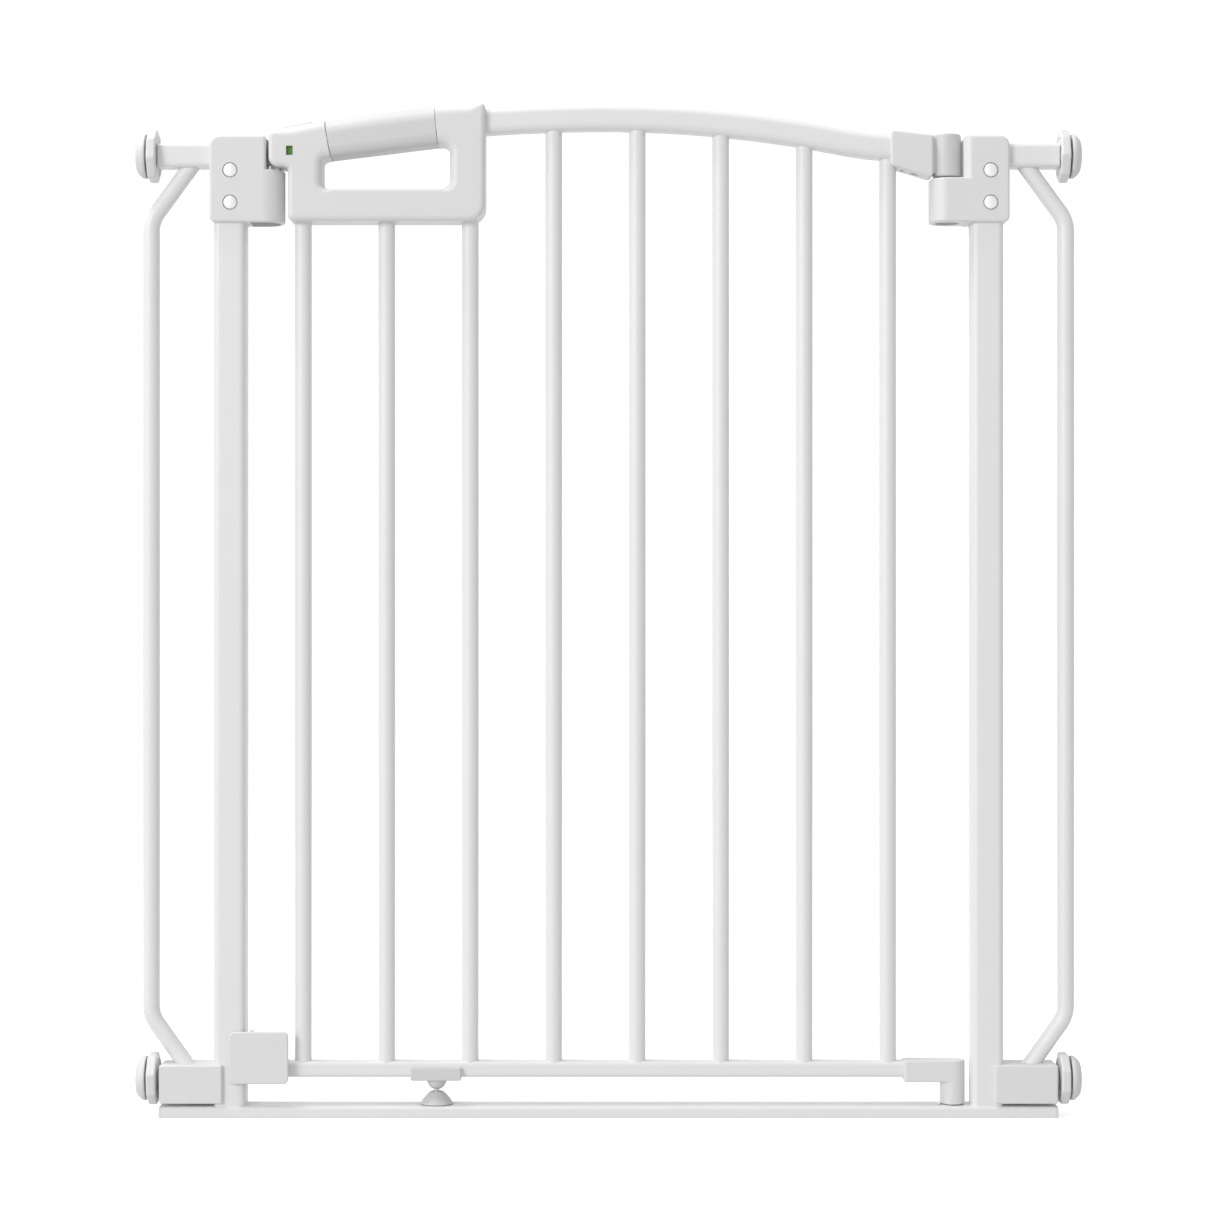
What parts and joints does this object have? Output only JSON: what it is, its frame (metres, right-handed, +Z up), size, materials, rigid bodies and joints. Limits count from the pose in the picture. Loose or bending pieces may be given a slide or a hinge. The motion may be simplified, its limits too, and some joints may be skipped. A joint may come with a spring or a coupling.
{
  "type": "pet gate",
  "caption": "Arched pressure-fit pet gate with a swinging barred leaf, a lift-and-slide latch handle and screw-out wall pads at its corners.",
  "frame": {"origin": "bottom centre of the base rail, on the floor, midway across the gate", "axes": "+Z up, +X towards the hinge post, -Y towards the front, the side the leaf opens to"},
  "size_m": [0.707, 0.0394, 0.757],
  "materials": {
    "white_powdercoat": "smooth gloss powder coat",
    "white_plastic": "satin moulded plastic",
    "grip_rubber": "soft-touch moulded grip",
    "grey_plastic": "satin light grey plastic",
    "pad_rubber": "matt off-white rubber",
    "zinc_steel": "zinc plated steel",
    "rivet_steel": "polished steel",
    "spring_steel": "drawn spring wire",
    "indicator_green": "moulded green flag",
    "indicator_red": "moulded red flag",
    "bush_plastic": "acetal bush"
  },
  "bodies": {
    "frame": {"base_rail": "white_powdercoat", "base_rail_end_plugs": "white_plastic", "left_post": "white_powdercoat", "right_post": "white_powdercoat", "upper_left_arm": "white_powdercoat", "upper_right_arm": "white_powdercoat", "left_lower_socket": "white_powdercoat", "right_lower_socket": "white_powdercoat", "left_side_rod": "white_powdercoat", "right_side_rod": "white_powdercoat", "left_corner_cover": "white_plastic", "right_corner_cover": "white_plastic", "spindle_guides": "bush_plastic", "latch_housing_front": "white_plastic", "latch_housing_rear": "white_plastic", "hinge_housing_front": "white_plastic", "hinge_housing_rear": "white_plastic", "housing_rivets": "rivet_steel", "lower_pivot_pin": "zinc_steel"},
    "bush": {"hinge_bush": "bush_plastic"},
    "leaf": {"bottom_rail": "white_powdercoat", "arch_rail": "white_powdercoat", "bar_1": "white_powdercoat", "bar_2": "white_powdercoat", "bar_3": "white_powdercoat", "bar_4": "white_powdercoat", "bar_5": "white_powdercoat", "bar_6": "white_powdercoat", "bar_7": "white_powdercoat", "bar_8": "white_powdercoat", "handle_front_shell": "white_plastic", "handle_rear_shell": "white_plastic", "grip_sleeve": "grip_rubber", "handle_screws": "zinc_steel", "latch_spring": "spring_steel", "upper_hinge_sleeve": "white_plastic", "upper_hinge_pin": "zinc_steel", "sleeve_screws": "zinc_steel", "lower_hinge_sleeve": "white_plastic", "catch_plate": "white_plastic", "foot_clip": "grey_plastic"},
    "thumb": {"thumb_slider": "white_plastic"},
    "bolt": {"latch_bolt": "grey_plastic", "indicator_green": "indicator_green", "indicator_red": "indicator_red"},
    "foot_screw": {"foot_stud": "zinc_steel"},
    "foot": {"foot_cone": "grey_plastic"},
    "upper_left_wheel_body": {"upper_left_wheel": "white_plastic"},
    "upper_left_foot": {"upper_left_spindle": "zinc_steel", "upper_left_pad": "pad_rubber"},
    "lower_left_wheel_body": {"lower_left_wheel": "white_plastic"},
    "lower_left_foot": {"lower_left_spindle": "zinc_steel", "lower_left_pad": "pad_rubber"},
    "upper_right_wheel_body": {"upper_right_wheel": "white_plastic"},
    "upper_right_foot": {"upper_right_spindle": "zinc_steel", "upper_right_pad": "pad_rubber"},
    "lower_right_wheel_body": {"lower_right_wheel": "white_plastic"},
    "lower_right_foot": {"lower_right_spindle": "zinc_steel", "lower_right_pad": "pad_rubber"}
  },
  "joints": [
    {"name": "leaf_swing", "type": "hinge", "parent": "frame", "child": "bush", "pos_m": [0.2535, 0, 0.69], "axis": [0, 0, 1], "range_deg": [0, 90]},
    {"name": "leaf_lift", "type": "slide", "parent": "bush", "child": "leaf", "axis": [0, 0, 1], "range_m": [0, 0.012]},
    {"name": "thumb_slide", "type": "slide", "parent": "leaf", "child": "thumb", "axis": [0.9812, 0, 0.1927], "range_m": [0, 0.008]},
    {"name": "bolt_slide", "type": "slide", "parent": "leaf", "child": "bolt", "axis": [1, 0, 0], "range_m": [0, 0.008], "stiffness_N_per_m": 300, "springref_m": -0.006, "deforming": ["latch_spring"]},
    {"name": "foot_turn", "type": "hinge", "parent": "foot_screw", "child": "foot", "pos_m": [-0.1288, 0, 0.0135], "axis": [0, 0, 1], "range_deg": [0, 290]},
    {"name": "foot_rise", "type": "slide", "parent": "leaf", "child": "foot_screw", "axis": [0, 0, 1], "range_m": [0, 0.001]},
    {"name": "upper_left_wheel_turn", "type": "hinge", "parent": "frame", "child": "upper_left_wheel_body", "pos_m": [-0.341, 0, 0.719], "axis": [-1, 0, 0], "range_deg": [0, 2890]},
    {"name": "upper_left_pad_out", "type": "slide", "parent": "frame", "child": "upper_left_foot", "axis": [-1, 0, 0], "range_m": [0, 0.024]},
    {"name": "lower_left_wheel_turn", "type": "hinge", "parent": "frame", "child": "lower_left_wheel_body", "pos_m": [-0.341, 0, 0.028], "axis": [-1, 0, 0], "range_deg": [0, 2890]},
    {"name": "lower_left_pad_out", "type": "slide", "parent": "frame", "child": "lower_left_foot", "axis": [-1, 0, 0], "range_m": [0, 0.024]},
    {"name": "upper_right_wheel_turn", "type": "hinge", "parent": "frame", "child": "upper_right_wheel_body", "pos_m": [0.341, 0, 0.719], "axis": [1, 0, 0], "range_deg": [0, 2890]},
    {"name": "upper_right_pad_out", "type": "slide", "parent": "frame", "child": "upper_right_foot", "axis": [1, 0, 0], "range_m": [0, 0.024]},
    {"name": "lower_right_wheel_turn", "type": "hinge", "parent": "frame", "child": "lower_right_wheel_body", "pos_m": [0.341, 0, 0.028], "axis": [1, 0, 0], "range_deg": [0, 2890]},
    {"name": "lower_right_pad_out", "type": "slide", "parent": "frame", "child": "lower_right_foot", "axis": [1, 0, 0], "range_m": [0, 0.024]}
  ],
  "couplings": [
    {"joint": "bolt_slide", "follows": "thumb_slide", "ratio": 0.98125},
    {"joint": "foot_turn", "follows": "foot_rise", "rad_per_m": 5026.5},
    {"joint": "upper_left_wheel_turn", "follows": "upper_left_pad_out", "rad_per_m": 2094.4},
    {"joint": "lower_left_wheel_turn", "follows": "lower_left_pad_out", "rad_per_m": 2094.4},
    {"joint": "upper_right_wheel_turn", "follows": "upper_right_pad_out", "rad_per_m": 2094.4},
    {"joint": "lower_right_wheel_turn", "follows": "lower_right_pad_out", "rad_per_m": 2094.4}
  ]
}
